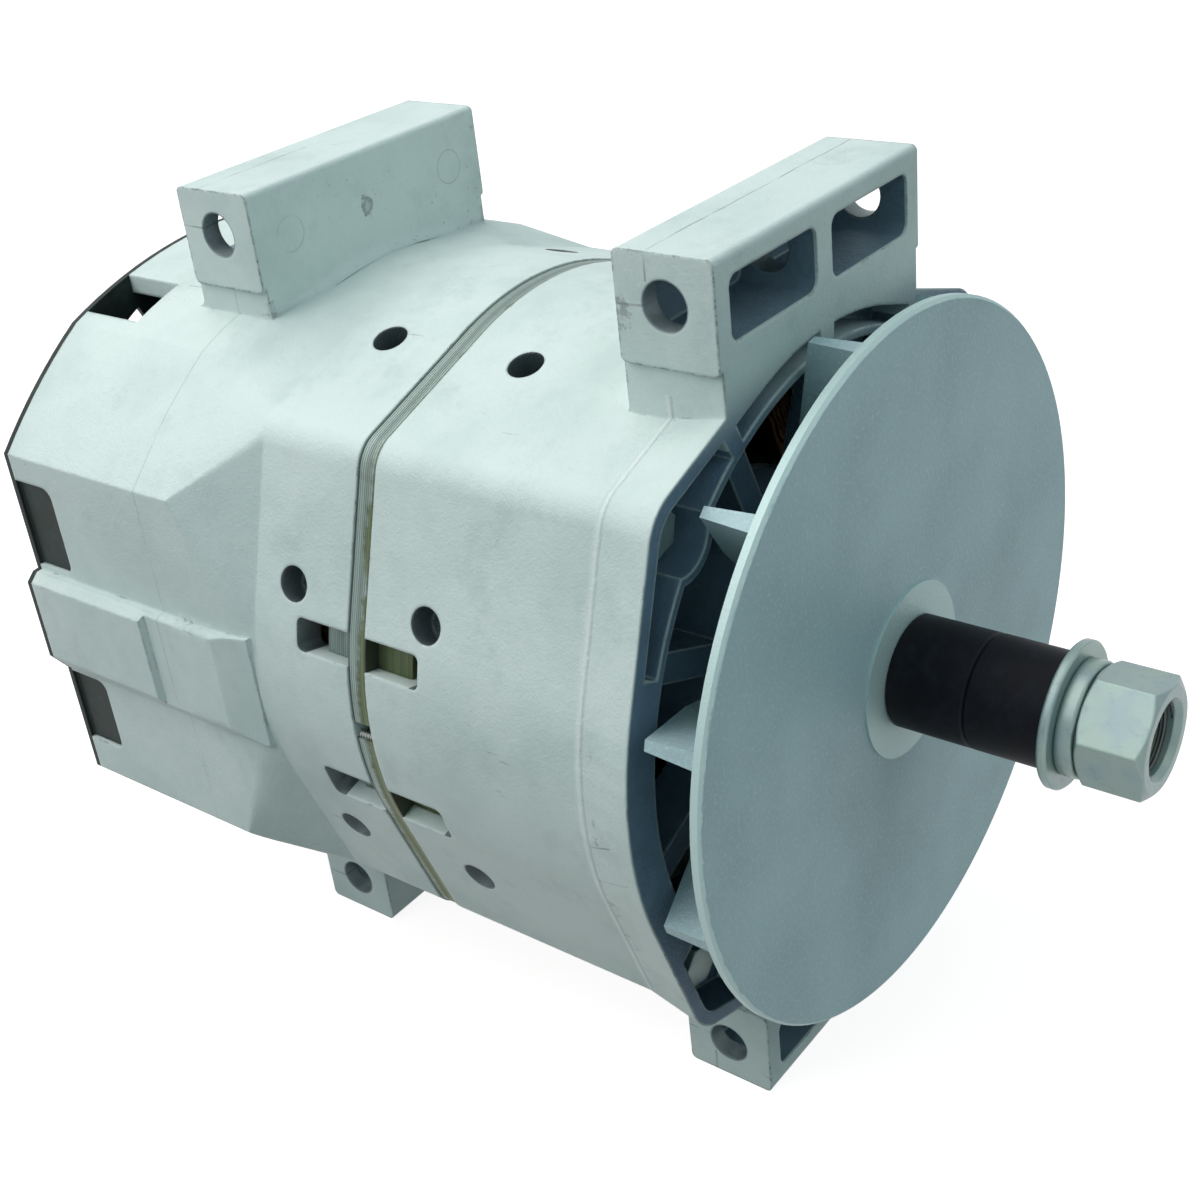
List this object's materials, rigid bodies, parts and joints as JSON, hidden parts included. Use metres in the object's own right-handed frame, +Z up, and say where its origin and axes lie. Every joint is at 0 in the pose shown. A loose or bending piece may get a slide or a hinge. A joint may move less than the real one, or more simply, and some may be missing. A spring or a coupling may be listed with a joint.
{
  "type": "alternator",
  "caption": "Heavy-duty pad-mount vehicle alternator with spoked cast frames, external flat fan, claw-pole rotor and threaded shaft end.",
  "frame": {"origin": "on the shaft axis at the front face of the fan hub, where a pulley seats", "axes": "+Y along the shaft from the pulley end to the rear cover, +Z up through the mounting bars, +X across the bars' bolt holes"},
  "size_m": [0.167, 0.2882, 0.211],
  "materials": {
    "cast_aluminium": "fine as-cast grain, satin",
    "fan_casting": "matte as-cast",
    "lamination_steel": "bare stacked sheet, dull",
    "copper_wire": "varnished",
    "zinc_steel": "zinc plated",
    "bearing_steel": "ground",
    "cage_steel": "pressed",
    "pole_steel": "forged, dark",
    "black_steel": "black oxide, low sheen",
    "black_plastic": "moulded",
    "carbon": "pressed carbon",
    "brass_stud": "turned",
    "red_insulator": "moulded"
  },
  "bodies": {
    "housing": {"drive_end_frame": "cast_aluminium", "rear_frame": "cast_aluminium", "stator_core": "lamination_steel", "front_end_turns": "copper_wire", "rear_end_turns": "copper_wire", "through_bolts": "zinc_steel", "bearing_retainer": "zinc_steel", "retainer_screws": "zinc_steel", "front_outer_race": "bearing_steel", "rear_outer_race": "bearing_steel", "brush_holder": "black_plastic", "brushes": "carbon", "regulator": "black_plastic", "negative_plate": "cast_aluminium", "positive_plate": "cast_aluminium", "plate_spacers": "black_plastic", "diodes": "zinc_steel", "output_stud": "brass_stud", "stud_insulator": "red_insulator", "stud_nuts": "brass_stud", "ground_stud": "zinc_steel", "rear_cover": "black_steel", "cover_screws": "zinc_steel"},
    "rotor": {"shaft": "bearing_steel", "front_pole": "pole_steel", "rear_pole": "pole_steel", "field_coil": "copper_wire", "slip_rings": "copper_wire", "front_inner_race": "bearing_steel", "rear_inner_race": "bearing_steel", "fan": "fan_casting", "inner_sleeve": "black_steel", "outer_sleeve": "black_steel", "flat_washer": "zinc_steel", "spring_washer": "zinc_steel", "shaft_nut": "zinc_steel"},
    "front_ball_set": {"front_balls": "bearing_steel", "front_cage": "cage_steel"},
    "rear_ball_set": {"rear_balls": "bearing_steel", "rear_cage": "cage_steel"}
  },
  "joints": [
    {"name": "rotor_spin", "type": "hinge", "parent": "housing", "child": "rotor", "pos_m": [0, 0, 0], "axis": [0, 1, 0], "continuous": true},
    {"name": "front_balls_spin", "type": "hinge", "parent": "housing", "child": "front_ball_set", "pos_m": [0, 0.0345, 0], "axis": [0, 1, 0], "continuous": true},
    {"name": "rear_balls_spin", "type": "hinge", "parent": "housing", "child": "rear_ball_set", "pos_m": [0, 0.1395, 0], "axis": [0, 1, 0], "continuous": true}
  ],
  "couplings": [
    {"joint": "front_balls_spin", "follows": "rotor_spin", "ratio": 0.38},
    {"joint": "rear_balls_spin", "follows": "rotor_spin", "ratio": 0.38}
  ]
}
